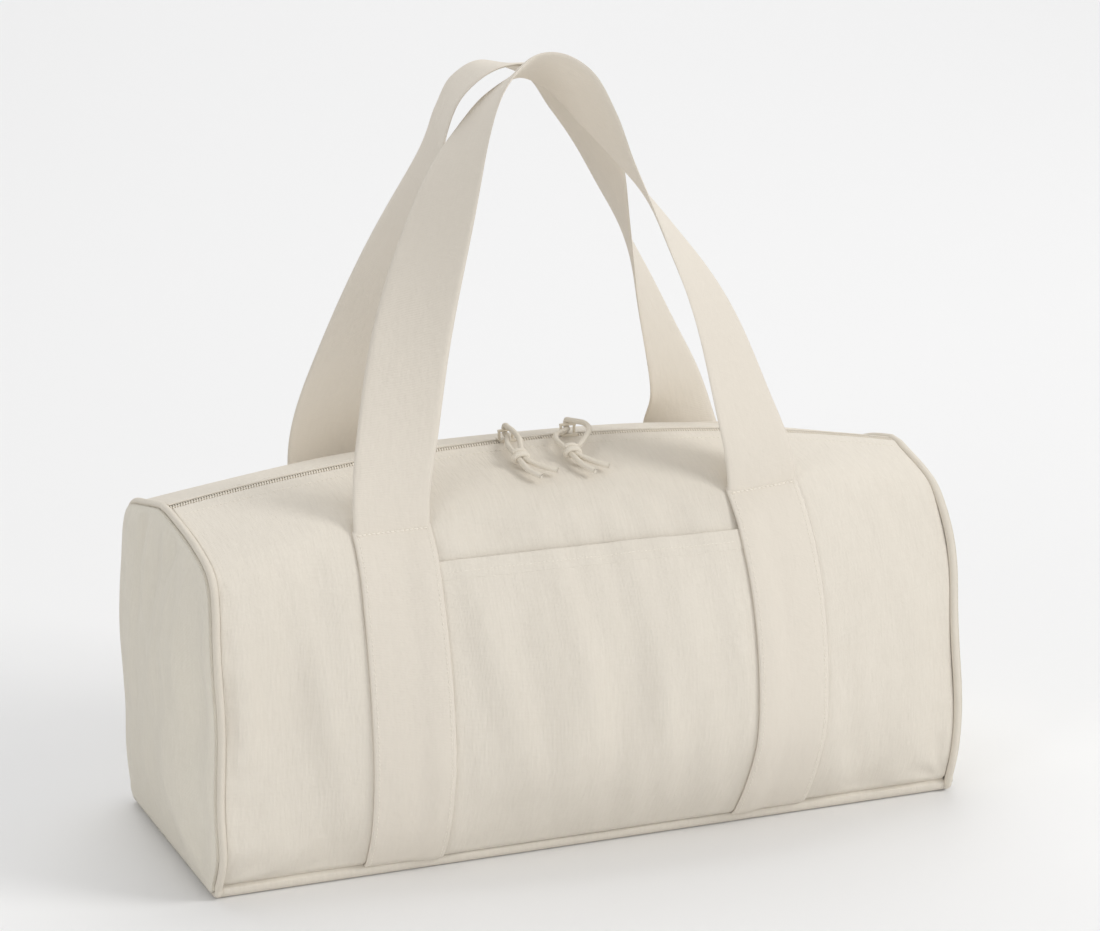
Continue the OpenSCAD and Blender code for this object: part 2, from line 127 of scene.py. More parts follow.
def ease(t):
    t = np.clip(t, 0, 1)
    return t * t * (3 - 2 * t)


def unit(v):
    return v / np.linalg.norm(v, axis=-1, keepdims=True)


def distances(points):
    """How far along a line of points each of them lies."""
    return np.concatenate([[0], np.cumsum(np.linalg.norm(np.diff(points, axis=0), axis=1))])


def dent(x, z, at, size, depth):
    """A smooth hollow or swelling, oval in x and z."""
    return depth * np.exp(-((x - at[0]) / size[0]) ** 2 - ((z - at[1]) / size[1]) ** 2)


def waves(x, z, seed, count, long_x, long_z):
    """A smooth field of about unit height from waves of the given lengths along x and z."""
    rng = np.random.RandomState(seed)
    total = np.zeros(np.broadcast(x, z).shape)
    for _ in range(count):
        kx = rng.uniform(0.5, 1.5) * rng.choice([-1, 1]) / long_x
        kz = rng.uniform(0.3, 1.4) / long_z
        total = total + np.sin(2 * np.pi * (kx * x + kz * z) + rng.uniform(0, 2 * np.pi))
    return total / math.sqrt(count)


def zip_z(x):
    return ZIP_H - ARC_R + np.sqrt(ARC_R ** 2 - (x + ZIP_PEAK) ** 2)


def zip_tilt(x):
    return np.arcsin((x + ZIP_PEAK) / ARC_R)


def section(x, side):
    """Outer corner points (y, z) of a wall's section at each place x, from the base seam to the zip."""
    shares = curve(DEPTHS[side], (x / SEAM_X + 1) * 2)
    top = zip_z(x)
    ones = np.ones_like(x)
    first = np.stack([HALF_BASE * ones, (BASE_TURN_UP + BASE_SEAM_GAP) * ones], -1)
    last = np.stack([ZIP_GAP / 2 * ones, top], -1)
    middle = np.stack([shares * HALF_BELLY, np.asarray(HEIGHTS) * top[:, None]], -1)
    return np.concatenate([first[:, None], middle, last[:, None]], 1)


def read_rows(points, u):
    """Reads each row of points at its own place u."""
    n = points.shape[1]
    i = np.clip(np.floor(u).astype(int), 0, n - 2)
    t = (u - i)[:, None]
    r = np.arange(len(u))
    a, b, c, d = (points[r, np.clip(i + k, 0, n - 1)] for k in (-1, 0, 1, 2))
    return spline(a, b, c, d, t)


# The soft relief of the cloth

STRAP_HOLD_FROM = 3.0
STRAP_HOLD_OVER = 16.0


def under_strap(x, side):
    """1 where a strap holds the wall smooth, 0 away from the straps."""
    held = np.zeros_like(x)
    for end in (LEFT, RIGHT):
        away = np.abs(x - STRAP_X[(side, end)]) - WEB_W / 2
        held = np.maximum(held, 1 - ease((away + STRAP_HOLD_FROM) / STRAP_HOLD_OVER))
    return held


# Each dent is a place (x, z), its half sizes along x and z, and how far it stands out.
FRONT_DENTS = [
    # left of the straps
    ((-203, 118), (17, 62), -2.6), ((-236, 128), (10, 44), 1.6), ((-174, 30), (19, 17), -2.6),
    ((-206, 26), (13, 18), 1.5), ((-186, 176), (26, 20), -1.2), ((-228, 60), (10, 26), -1.3),
    # on the pocket
    ((-58, 140), (13, 42), -2.0), ((-27, 112), (13, 52), 1.9), ((2, 112), (12, 52), -2.1),
    ((27, 104), (12, 42), 1.7), ((52, 92), (13, 44), -1.4), ((-84, 150), (11, 34), 1.1),
    ((14, 52), (17, 18), 1.5), ((62, 48), (15, 20), 1.2), ((-72, 40), (24, 18), -1.4),
    ((-40, 60), (14, 20), 0.9), ((80, 150), (11, 40), 0.9),
    # above the pocket
    ((-68, 214), (22, 7), -1.8), ((-20, 220), (30, 9), 1.0), ((45, 214), (30, 9), -0.8),
    # right of the straps
    ((160, 104), (13, 66), -2.2), ((196, 150), (26, 40), 1.3), ((186, 66), (24, 26), -1.3),
    ((225, 100), (15, 60), 1.0), ((165, 30), (12, 16), 1.4), ((188, 22), (9, 14), -1.5),
    ((212, 26), (12, 16), 1.0)]
BACK_DENTS = [
    ((-200, 110), (20, 60), -2.2), ((-232, 130), (12, 44), 1.2), ((-60, 120), (22, 60), -1.8),
    ((-10, 90), (18, 50), 1.6), ((48, 128), (20, 56), -1.8), ((180, 110), (18, 60), -2.0),
    ((215, 60), (16, 30), 1.2), ((0, 195), (60, 10), -1.2), ((-190, 30), (20, 18), -1.8),
    ((175, 28), (18, 16), -1.6)]

DENT_SCALE = 1.25
# Each field of waves is a height, a seed, a count, and the waves' lengths along x and z.
WAVES = [(0.85, 11, 7, 74, 210), (0.40, 31, 9, 30, 85)]
STRAP_SMOOTHS = 0.72
CREASE_H = 1.3
CREASE_FADE = 42.0
PUCKER_H = 0.5
PUCKER_LONG = 23.0
PUCKER_FADE = 16.0
SEAM_DRAWS_OVER = 9.0
FAR_AWAY = 999.0


def relief(side, x, z):
    """How far the cloth stands in or out of its smooth section."""
    total = 0
    for height, seed, count, long_x, long_z in WAVES:
        total = total + height * waves(x, z, seed + side, count, long_x, long_z)
    for at, size, depth in FRONT_DENTS if side == FRONT else BACK_DENTS:
        total = total + dent(x, z, at, size, DENT_SCALE * depth)
    from_end = WALL_END - np.abs(x)
    from_base = z - BASE_TURN_UP
    # creases that run out of the two lower corners
    for end in (LEFT, RIGHT):
        dx = np.where(np.sign(x) == end, from_end, FAR_AWAY)
        far = np.hypot(dx, from_base)
        turn = np.arctan2(from_base, dx)
        crease = CREASE_H * np.sin(turn * 9 + side + end)
        total = total + crease * np.exp(-far / CREASE_FADE) * ease(far / 26)
    # puckers along the end seams
    pucker = np.sin(2 * np.pi * z / PUCKER_LONG + 2.0 * np.sin(z / 37 + side) + np.sign(x))
    total = total + PUCKER_H * np.exp(-from_end / PUCKER_FADE) * pucker
    total = total * (1 - STRAP_SMOOTHS * under_strap(x, side))
    # the cloth is drawn in along its seams
    total = total * ease(from_end / SEAM_DRAWS_OVER) * ease(from_base / SEAM_DRAWS_OVER)
    return total - 0.5 * np.exp(-(from_end / 3.2) ** 2) - 1.8 * np.exp(-(from_base / 2.8) ** 2)


# The relief fades out near the zip, from a share of its height on, and the lip rises over the last rows.
SMOOTH_FROM_SHARE = 0.88
SMOOTH_OVER_SHARE = 0.06
LIP_ROWS = 0.30
LIP_RISE_ROWS = 0.25


def wall(side, x, u, off=0.0, folded=True):
    """Points on a wall, u rows up from the base seam and a height off over its outer face."""
    x, u, off = (np.array(v, float).ravel() for v in np.broadcast_arrays(x, u, off))
    xs, at = np.unique(np.round(x, 5), return_inverse=True)
    points = section(xs, side)[at]
    here = read_rows(points, u)
    above, below = np.minimum(LAST, u + ROW_STEP), np.maximum(0, u - ROW_STEP)
    run = unit(read_rows(points, above) - read_rows(points, below))
    top = zip_z(x)
    if folded:
        fade = 1 - ease((here[:, 1] - SMOOTH_FROM_SHARE * top) / (SMOOTH_OVER_SHARE * top))
        lip = ease((u - LAST + LIP_ROWS) / LIP_RISE_ROWS)
        off = off + relief(side, x, here[:, 1]) * fade + ZIP_LIP * lip
        here = here - lip[:, None] * [ZIP_COVER, 0]
    y = here[:, 0] + off * run[:, 1]
    z = here[:, 1] - off * run[:, 0]
    return np.stack([x, side * y, z], -1)


def row_at(side, x, z, off=0.0):
    """The rows at which a layer off over the wall reaches a height, found by halving."""
    x = np.asarray(x, float)
    low, high = np.zeros_like(x), np.full_like(x, LAST)
    for _ in range(16):
        mid = (low + high) / 2
        below = wall(side, x, mid, off, False)[:, 2] < z
        low, high = np.where(below, mid, low), np.where(below, high, mid)
    return (low + high) / 2


SWAY_FROM = 205.0
SWAY_FROM_FLOOR = 40.0


def sway(points):
    """The end seams wander a little, and the cloth beside them goes along."""
    p = np.array(points, float)
    x, y, z = (p[..., k].copy() for k in range(3))
    near = ease((np.abs(x) - SWAY_FROM) / (SEAM_X - SWAY_FROM)) * np.sign(x)
    wander = 0.9 * np.sin(z / 17 + y / 60) + 0.54 * np.sin(z / 41 + y / 25 + 1)
    p[..., 0] += near * wander * ease(z / SWAY_FROM_FLOOR)
    return p


# Mesh making

def mesh_piece(name, points, faces, uvs=None, smooth=True):
    """A mesh object from points in millimetres. uvs gives each point's place on the cloth, also in mm."""
    mesh = bpy.data.meshes.new(name)
    mesh.from_pydata((np.asarray(points, float) * MM).tolist(), [], [list(map(int, f)) for f in faces])
    if uvs is not None:
        layer = mesh.uv_layers.new(name="cloth")
        index = np.empty(len(mesh.loops), np.int32)
        mesh.loops.foreach_get("vertex_index", index)
        layer.data.foreach_set("uv", (np.asarray(uvs, float)[index] * MM).astype(np.float32).ravel())
    mesh.validate()
    mesh.update()
    if smooth:
        mesh.polygons.foreach_set("use_smooth", [True] * len(mesh.polygons))
    obj = bpy.data.objects.new(name, mesh)
    bpy.context.scene.collection.objects.link(obj)
    return obj


def grid_faces(nx, nu, flip=False, start=0, wrap_x=False, wrap_u=False):
    faces = []
    for i in range(nx if wrap_x else nx - 1):
        for j in range(nu if wrap_u else nu - 1):
            i2, j2 = (i + 1) % nx, (j + 1) % nu
            f = [start + i * nu + j, start + i2 * nu + j, start + i2 * nu + j2, start + i * nu + j2]
            faces.append(f[::-1] if flip else f)
    return faces


def cloth_places(xs, layer, start=0.0):
    """Places on the cloth for a grid of points: x, and the distance up each column from a start."""
    v = np.stack([distances(column) for column in layer]) + start
    return np.stack([np.broadcast_to(xs[:, None], v.shape), v], -1)


RIM_BULGE_SHARE = 0.32


def slab(name, outer, inner, uvs, flip=False):
    """A closed layer of cloth between two grids of points, with rounded rims from its own thickness."""
    nx, nu = outer.shape[:2]
    n = nx * nu
    faces = grid_faces(nx, nu, flip) + grid_faces(nx, nu, not flip, n)
    # a middle row of points round the rim, pushed out a little, rounds the edge
    grid = np.arange(n).reshape(nx, nu)
    ring = np.concatenate([grid[:, 0], grid[-1, 1:], grid[-2::-1, -1], grid[0, -2:0:-1]])
    upper, lower = outer.reshape(-1, 3)[ring], inner.reshape(-1, 3)[ring]
    middle = (upper + lower) / 2
    thick = np.linalg.norm(upper - lower, axis=1, keepdims=True)
    run = unit(np.roll(middle, -1, 0) - np.roll(middle, 1, 0))
    push = unit(np.cross(run, unit(upper - lower)))
    push *= np.sign(((middle - middle.mean(0)) * push).sum(1, keepdims=True) + 1e-9)
    middle = middle + push * thick * RIM_BULGE_SHARE
    m = len(ring)
    for k in range(m):
        k2 = (k + 1) % m
        a = [ring[k], ring[k2], 2 * n + k2, 2 * n + k]
        b = [2 * n + k, 2 * n + k2, n + ring[k2], n + ring[k]]
        faces += [a, b] if flip else [a[::-1], b[::-1]]
    points = np.concatenate([outer.reshape(-1, 3), inner.reshape(-1, 3), middle])
    flat = uvs.reshape(-1, 2)
    return mesh_piece(name, points, faces, np.concatenate([flat, flat, flat[ring]]))


def tube(name, rings, closed, around, flip=False):
    """A tube through rings of points, looped or capped. around gives places on the cloth round a ring."""
    m, n = rings.shape[:2]
    faces = grid_faces(m, n, flip, 0, closed, True)
    if not closed:
        a, b = list(range(n)), list(range((m - 1) * n, m * n))
        faces += [a if flip else a[::-1], b[::-1] if flip else b]
    run = distances(rings.mean(1))
    uv = np.stack(np.broadcast_arrays(around[None], run[:, None]), -1).reshape(-1, 2)
    return mesh_piece(name, rings.reshape(-1, 3), faces, uv)


def disc(name, outer, inner, uvs, middle, flip):
    """A closed layer of cloth between two sets of rings round a middle place."""
    m, k = outer.shape[:2]
    faces = []
    for n in range(2):
        inward = (n == 1) != flip
        start = n * m * k
        faces += grid_faces(m, k, not inward, start, True)
        for i in range(m):
            f = [2 * m * k + n, start + i * k, start + (i + 1) % m * k]
            faces.append(f[::-1] if inward else f)
    for i in range(m):
        a, b = i * k + k - 1, (i + 1) % m * k + k - 1
        f = [a, b, m * k + b, m * k + a]
        faces.append(f[::-1] if flip else f)
    hubs = [layer[:, 0].mean(0) for layer in (outer, inner)]
    points = np.concatenate([outer.reshape(-1, 3), inner.reshape(-1, 3), hubs])
    flat = uvs.reshape(-1, 2)
    return mesh_piece(name, points, faces, np.concatenate([flat, flat, [middle, middle]]))


def wall_layer(name, side, xs, outer, inner, start=0.0):
    """A layer of cloth on a wall, from points that are listed column by column."""
    outer, inner = (p.reshape(len(xs), -1, 3) for p in (outer, inner))
    return slab(name, outer, inner, cloth_places(xs, outer, start), flip=side == BACK)


def pairs(xs, us):
    """Every pair of a column and a row, as two flat lists."""
    return (g.ravel() for g in np.meshgrid(xs, us, indexing="ij"))


def give(obj, material, body, slot, *nodes):
    """Puts the material on a piece, lets it ride on a body and stand for its nodes."""
    obj.data.materials.clear()
    obj.data.materials.append(material)
    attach(obj, body)
    if nodes:
        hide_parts(*nodes)


# Materials

def node(tree, kind, **values):
    """A new shader node with its inputs and settings."""
    n = tree.nodes.new(kind)
    for key, value in values.items():
        if key in n.inputs:
            n.inputs[key].default_value = value
        else:
            setattr(n, key, value)
    return n


def set_inputs(shader, **values):
    """Sets a shader node's inputs. An underscore in a name stands for a space."""
    for key, value in values.items():
        shader.inputs[key.replace("_", " ")].default_value = value


def new_material(name):
    material = bpy.data.materials.new(name)
    material.use_nodes = True
    return material, material.node_tree


CLOTH_ROUGH = 0.9
WOBBLE = 1.2
LUMP_H = 1.2


def woven(name, tint, shade, thread_x, thread_y, relief_h, slub=0.5, fuzz=0.25, mottle=0.5):
    """Plain woven cloth. thread_x and thread_y are the thread's pitches in millimetres across and along."""
    material, tree = new_material(name)
    tree.nodes.clear()
    link = tree.links.new
    out = node(tree, "ShaderNodeOutputMaterial")
    bsdf = node(tree, "ShaderNodeBsdfPrincipled", Roughness=CLOTH_ROUGH)
    set_inputs(bsdf, Specular_IOR_Level=0.22, Sheen_Weight=fuzz, Sheen_Roughness=0.55,
               Sheen_Tint=(1, 0.96, 0.9, 1))
    link(bsdf.outputs[0], out.inputs[0])
    uv = node(tree, "ShaderNodeUVMap", uv_map="cloth")

    def mapped(texture, place, sx, sy):
        mapping = node(tree, "ShaderNodeMapping", Scale=(sx, sy, 1))
        link(place, mapping.inputs[0])
        link(mapping.outputs[0], texture.inputs["Vector"])
        return texture

    def stretched(sx, sy, detail):
        """Noise with its own number of spots to the metre across and along."""
        noise = node(tree, "ShaderNodeTexNoise", Scale=1.0, Detail=detail, Roughness=0.6)
        return mapped(noise, uv.outputs[0], sx, sy).outputs[0]

    def maths(op, a, b, clamp=False):
        n = node(tree, "ShaderNodeMath", operation=op, use_clamp=clamp)
        for k, v in enumerate((a, b)):
            if isinstance(v, (int, float)):
                n.inputs[k].default_value = v
            else:
                link(v, n.inputs[k])
        return n.outputs[0]

    def bands(pitch, direction):
        wave = node(tree, "ShaderNodeTexWave", Scale=1.0, Distortion=0.0, bands_direction=direction)
        k = math.pi / 10 / (pitch * MM)
        return mapped(wave, warp, k, k).outputs[1]

    # threads are never quite straight
    wobble = stretched(60, 60, 1)
    add = node(tree, "ShaderNodeVectorMath", operation="MULTIPLY_ADD")
    comb = node(tree, "ShaderNodeCombineXYZ")
    link(wobble, comb.inputs[0])
    link(wobble, comb.inputs[1])
    add.inputs[1].default_value = (WOBBLE * MM, WOBBLE * MM, 0)
    link(comb.outputs[0], add.inputs[0])
    link(uv.outputs[0], add.inputs[2])
    warp = add.outputs[0]

    warp_threads = bands(thread_x, "X")
    weft_threads = bands(thread_y, "Y")
    slub_up = stretched(1000 / 1.7, 1000 / 16, 2)
    slub_across = stretched(1000 / 18, 1000 / 1.5, 2)
    weave = maths("MULTIPLY", maths("ADD", warp_threads, weft_threads), 0.5)
    slubs = maths("ADD", maths("MULTIPLY", slub_up, 0.72), maths("MULTIPLY", slub_across, 0.28))
    height = maths("ADD", maths("MULTIPLY", weave, 1 - slub), maths("MULTIPLY", slubs, slub * 2))
    bump = node(tree, "ShaderNodeBump", Strength=0.75, Distance=relief_h * MM)
    link(height, bump.inputs["Height"])
    # a slower unevenness under the weave
    lumps = node(tree, "ShaderNodeBump", Strength=0.5, Distance=LUMP_H * MM)
    link(stretched(120, 55, 2), lumps.inputs["Height"])
    link(lumps.outputs[0], bump.inputs["Normal"])
    link(bump.outputs[0], bsdf.inputs["Normal"])

    # the mix node's colours are its inputs 6 and 7 and its output 2
    ramp = node(tree, "ShaderNodeMix", data_type="RGBA")
    ramp.inputs[6].default_value = (*shade, 1)
    ramp.inputs[7].default_value = (*tint, 1)
    cloud = stretched(9, 6, 3)
    fine = maths("ADD", maths("MULTIPLY", slubs, 0.9), maths("MULTIPLY", cloud, mottle))
    # The weave's height goes into the colour too: raised threads are lighter and the hollows between them
    # darker, which is painted shade in the weave.
    fine = maths("ADD", fine, maths("MULTIPLY", weave, 0.35))
    link(maths("SUBTRACT", fine, 0.25, clamp=True), ramp.inputs[0])
    link(ramp.outputs[2], bsdf.inputs["Base Color"])
    rough_noise = maths("ADD", maths("MULTIPLY", slubs, 0.12), CLOTH_ROUGH - 0.06)
    link(rough_noise, bsdf.inputs["Roughness"])
    return material


GRAIN_H = 0.2


def plain(name, colour, rough, coat=0.0):
    """A smooth made material with a fine grain in its surface."""
    material, tree = new_material(name)
    link = tree.links.new
    bsdf = tree.nodes["Principled BSDF"]
    set_inputs(bsdf, Base_Color=(*colour, 1), Coat_Weight=coat)
    place = node(tree, "ShaderNodeTexCoord")
    noise = node(tree, "ShaderNodeTexNoise", Scale=900.0, Detail=3.0)
    link(place.outputs["Object"], noise.inputs["Vector"])
    patches = node(tree, "ShaderNodeMapRange")
    set_inputs(patches, To_Min=rough - 0.06, To_Max=rough + 0.06)
    link(noise.outputs[0], patches.inputs["Value"])
    link(patches.outputs[0], bsdf.inputs["Roughness"])
    bump = node(tree, "ShaderNodeBump", Strength=0.4, Distance=GRAIN_H * MM)
    link(noise.outputs[0], bump.inputs["Height"])
    link(bump.outputs[0], bsdf.inputs["Normal"])
    return material


CANVAS = woven("canvas", (0.780, 0.728, 0.642), (0.672, 0.619, 0.535), 0.8, 0.8, 0.42, slub=0.6)
# The end panels are the same canvas as the walls. This copy is tinted a touch greener, to the cooler cast
# of the shaded ends, which is painted shade colour.
END_CANVAS_SHADE_TINT = woven("end_canvas_painted_shade_tint", (0.772, 0.728, 0.634), (0.668, 0.625, 0.533), 0.8, 0.8, 0.40, slub=0.6)
# The piping is the same canvas as the walls. This copy is darker, which is painted shade along the end
# seams.
PIPING_SHADED_CANVAS = woven("piping_canvas_painted_shade", (0.725, 0.672, 0.585), (0.650, 0.595, 0.505), 0.8, 0.8, 0.25)
WEBBING = woven("webbing", (0.758, 0.702, 0.618), (0.708, 0.652, 0.566), 0.7, 1.0, 0.16, slub=0.3, fuzz=0.2,
                mottle=0.3)
TAPE = woven("zip_tape_weave", (0.80, 0.75, 0.66), (0.76, 0.70, 0.60), 0.5, 0.5, 0.12, slub=0.2)
CORD = woven("cord_braid", (0.790, 0.735, 0.640), (0.700, 0.640, 0.540), 0.9, 0.9, 0.30, slub=0.3)
THREAD = plain("thread", (0.84, 0.79, 0.70), 0.62)
COIL = plain("zip_coil_nylon", (0.84, 0.78, 0.68), 0.45)
SLIDER = plain("slider_enamel", (0.78, 0.71, 0.59), 0.38, coat=0.3)


# Camera, at the photograph's angle

PHOTO_W_PX = 1100
FOCAL_PX = 3982
SENSOR_W = 36


def add_camera():
    azimuth, elevation, distance = math.radians(21.56), math.radians(16.68), 2.5494
    target = Vector((0.0042, 0, 0.2259))
    back = Vector((-math.sin(azimuth) * math.cos(elevation), -math.cos(azimuth) * math.cos(elevation),
                   math.sin(elevation)))
    data = bpy.data.cameras.new("camera")
    data.sensor_fit = "HORIZONTAL"
    data.sensor_width = SENSOR_W
    data.lens = FOCAL_PX / PHOTO_W_PX * SENSOR_W
    data.clip_end = 50
    camera = bpy.data.objects.new("camera", data)
    camera.location = target + back * distance
    camera.rotation_euler = (-back).to_track_quat("-Z", "Y").to_euler()
    bpy.context.scene.collection.objects.link(camera)
    bpy.context.scene.camera = camera


add_camera()


# Pull cords: each is one cord over its slider's bar, made as two halves that meet behind the bar

def on_zip(x, p):
    """Points that are measured from the zip line at a place x along it, put into the bag's own axes."""
    t = float(zip_tilt(x))
    turned = np.stack([p[:, 0] * math.cos(t) + p[:, 2] * math.sin(t), p[:, 1],
                       -p[:, 0] * math.sin(t) + p[:, 2] * math.cos(t)], -1)
    foot = np.array([-ZIP_PEAK + ARC_R * math.sin(t), 0, ZIP_H - ARC_R + ARC_R * math.cos(t)])
    return turned + foot


# Each pull's knot, and the routes of its two halves from behind the bar to their bare ends.
PULLS = {
    LEFT: dict(
        knot=[-5, -38, -6.6],
        lower=[[0, 3.1, 0], [0, 2.2, -2.2], [0, 0, -3], [0, -3, -3], [-2.4, -9, -3.2], [-5.8, -19, -4],
               [-6.6, -29, -5.2], [-6.6, -38, -6.8], [-5.6, -45, -9.2], [-4.6, -51, -11.4],
               [-2, -56, -12.8], [1, -60, -14]],
        upper=[[0, 3.1, 0], [0, 2.2, 2.2], [0, 0, 3], [0, -3, 2.8], [1, -9, 2], [1.6, -19, -0.4],
               [-0.9, -29, -3.4], [-3.2, -38, -6.2], [-1, -43, -8.4], [4, -48, -10.4], [9, -52, -11.8],
               [14, -55, -12.8]]),
    RIGHT: dict(
        knot=[-12, -38, -6.6],
        lower=[[0, 3.1, 0], [0, 2.2, -2.2], [0, 0, -3], [-4, -4, -3], [-11, -9, -3.4], [-15, -19, -4],
               [-14.6, -29, -5.2], [-13.6, -38, -6.8], [-12, -45, -9.2], [-10.4, -51, -11.4],
               [-7.6, -56, -12.8], [-4.6, -60, -14]],
        upper=[[0, 3.1, 0], [0, 2.2, 2.2], [0, 0, 3], [2.4, -3, 3], [8, -9, 2.6], [7.6, -18, 0.4],
               [-2.4, -30, -4], [-10.2, -38, -6.2], [-8, -43, -8.4], [-3, -48, -10.4], [2, -52, -11.8],
               [7, -55, -12.8]])}


CORD_SIDES = 14
CORD_LUMPS_SHARE = 0.03
ROUTE_POINTS = 36
KNOT_POINTS = 60
KNOT_TURNS = 1.55
KNOT_LONG = 5.6


def cord_tube(name, route):
    """A round mesh tube of the pull cord's size along a route, with a little unevenness."""
    run = unit(np.gradient(route, axis=0))
    over = unit(np.cross([1.0, 0.2, 0.1], run))
    for k in range(1, len(route)):
        over[k] = unit(over[k - 1] - run[k] * (over[k - 1] @ run[k]))
    aside = np.cross(run, over)
    s = distances(route)
    size = CORD_D / 2 * (1 + CORD_LUMPS_SHARE * np.sin(s * 2.1) * np.sin(s * 0.7 + 1))
    t = np.linspace(0, 2 * np.pi, CORD_SIDES, endpoint=False)
    spokes = aside[:, None] * np.cos(t)[None, :, None] + over[:, None] * np.sin(t)[None, :, None]
    rings = route[:, None] + size[:, None, None] * spokes
    return tube(name, rings, False, np.arange(CORD_SIDES) * (np.pi * CORD_D / CORD_SIDES), flip=True)


def make_knot(end):
    """About one turn and a half of cord round both strands."""
    t = np.linspace(0, 1, KNOT_POINTS)
    turn = 2 * np.pi * (KNOT_TURNS * t + 0.1)
    along = unit(np.array([0.12, -0.93, -0.34]))
    across = unit(np.cross(along, [0, 0, 1.0]))
    lift = np.cross(across, along)
    wide = 3.5 + 0.5 * np.sin(np.pi * t)
    wrap = (np.array(PULLS[end]["knot"], float) + along * ((t - 0.5) * KNOT_LONG)[:, None]
            + across * (1.15 * wide * np.cos(turn))[:, None] + lift * (0.85 * wide * np.sin(turn))[:, None])
    return cord_tube(f"{END_WORD[end]}_pull_knot", on_zip(SLIDER_X[end], wrap + [0, 0, BAR_H]))


def make_pull(end):
    side = END_WORD[end]
    routes, halves = [], []
    for part in ("lower", "upper"):
        points = PULLS[end][part]
        fine = curve(points, np.linspace(0, len(points) - 1, ROUTE_POINTS))
        routes.append(on_zip(SLIDER_X[end], fine + [0, 0, BAR_H]))
        halves.append(cord_tube(f"{side}_pull_cord_{part}", routes[-1]))
    knot = make_knot(end)
    for obj in [knot] + halves:
        give(obj, CORD, f"{side}_pull", "pull_cord", f"{side}_pull_cord")


for end in (LEFT, RIGHT):
    make_pull(end)


# Walls

FINE_FROM_X = 235.0
FINE_ROWS = 0.5
TURNED_IN = 2.4


def make_wall(side, name, node_name):
    # the last columns turn in under the piping, and the rows and columns are closer beside the seams
    turned = WALL_END + np.array([1.6, 0.9])
    closer = np.linspace(FINE_FROM_X, WALL_END, 16)[1:]
    middle = np.linspace(-FINE_FROM_X, FINE_FROM_X, 236)
    xs = np.concatenate([-turned, -closer[::-1], middle, closer, turned[::-1]])
    us = np.concatenate([np.linspace(0, FINE_ROWS, 14)[:-1], np.linspace(FINE_ROWS, LAST - FINE_ROWS, 130),
                         np.linspace(LAST - FINE_ROWS, LAST, 12)[1:]])
    x, u = pairs(xs, us)
    fold = -TURNED_IN * np.clip(np.abs(x) - WALL_END, 0, 2)
    outer, inner = (sway(wall(side, x, u, off)) for off in (fold, fold - CANVAS_T))
    give(wall_layer(name, side, xs, outer, inner), CANVAS, "bag", "canvas", node_name)


make_wall(FRONT, "front_wall", "front_panel")
make_wall(BACK, "back_wall", "back_panel")


# Base

# The turned-up edge of the base: how far out from its side, and how high, down to its round corner
BASE_EDGE = [(-4.4, 15.0), (-3.4, 11.0), (-2.2, 8.6), (-0.8, 7.7), (0.0, 6.9), (0.0, 6.3)]
RIPPLE_TOP = 9.0


def make_base():
    t = np.radians(np.linspace(0, 90, 9))
    flat_y = HALF_BASE - BASE_R
    right = [[HALF_BASE + y, z] for y, z in BASE_EDGE]
    right += [[flat_y + BASE_R * math.cos(a), BASE_R - BASE_R * math.sin(a)] for a in t]
    flat = [[y, 0] for y in np.linspace(flat_y, -flat_y, 30)[1:-1]]
    line = np.array(right + flat + [[-y, z] for y, z in right[::-1]])
    run = unit(np.gradient(line, axis=0))
    normal = np.stack([-run[:, 1], run[:, 0]], -1)
    xs = np.linspace(-WALL_END - UNDER_PIPING, WALL_END + UNDER_PIPING, 150)
    ripple = 0.35 * np.sin(xs / 19) * np.sin(xs / 53 + 1)
    rises = ease(line[:, 1] / BASE_TURN_UP) * ease((RIPPLE_TOP - line[:, 1]) / 1.2)
    bulge = np.sign(line[:, 0]) * rises * ripple[:, None]
    layers = []
    for off in (0.0, -CANVAS_T):
        y = line[:, 0] + normal[:, 0] * off + bulge
        z = np.broadcast_to(line[:, 1] + normal[:, 1] * off, y.shape)
        layers.append(sway(np.stack([np.broadcast_to(xs[:, None], y.shape), y, z], -1)))
    give(slab("base", *layers, cloth_places(xs, layers[0])), CANVAS, "bag", "canvas", "base_panel")


make_base()


# End seams, piping and end panels

PIPING_OFF_FLOOR = 0.5
SEAM_WANDER = 0.5


def seam_line(end):
    """The closed line of an end seam: up the back, down the front and along the base."""
    us = np.concatenate([np.linspace(0, FINE_ROWS, 8)[:-1], np.linspace(FINE_ROWS, LAST, 86)])
    x = np.full(len(us), end * SEAM_X)
    back = wall(BACK, x, us, 0.0, False)[:, 1:]
    front = wall(FRONT, x, us, 0.0, False)[:, 1:]
    # the seam's line is a little uneven
    back[:, 0] += SEAM_WANDER * np.sin(us * 2.3 + end) * ease(us) * ease((LAST - us) / 2)
    front[:, 0] -= SEAM_WANDER * np.sin(us * 2.1 + 1 + end) * ease(us) * ease((LAST - us) / 2)
    low = PIPING_R + PIPING_OFF_FLOOR
    t = np.radians(np.linspace(0, 90, 8))
    bend = np.stack([HALF_BASE - BASE_R + BASE_R * np.cos(t), BASE_R + (low - BASE_R) * np.sin(t)], -1)
    flat_y = np.linspace(BASE_R - HALF_BASE, HALF_BASE - BASE_R, 44)[1:-1]
    flat = np.stack([flat_y, np.full_like(flat_y, low)], -1)
    return np.concatenate([back, front[::-1], bend * [-1, 1], flat, bend[::-1]])


def seam_rings(end, radius, sides):
    line = seam_line(end)
    run = unit(np.roll(line, -1, 0) - np.roll(line, 1, 0))
    out = np.stack([run[:, 1], -run[:, 0]], -1)
    t = np.linspace(0, 2 * np.pi, sides, endpoint=False)
    x = end * SEAM_X + radius * np.cos(t)[None] * np.ones((len(line), 1))
    y = line[:, :1] + out[:, :1] * radius * np.sin(t)[None]
    z = line[:, 1:] + out[:, 1:] * radius * np.sin(t)[None]
    return sway(np.stack([x, y, z], -1))


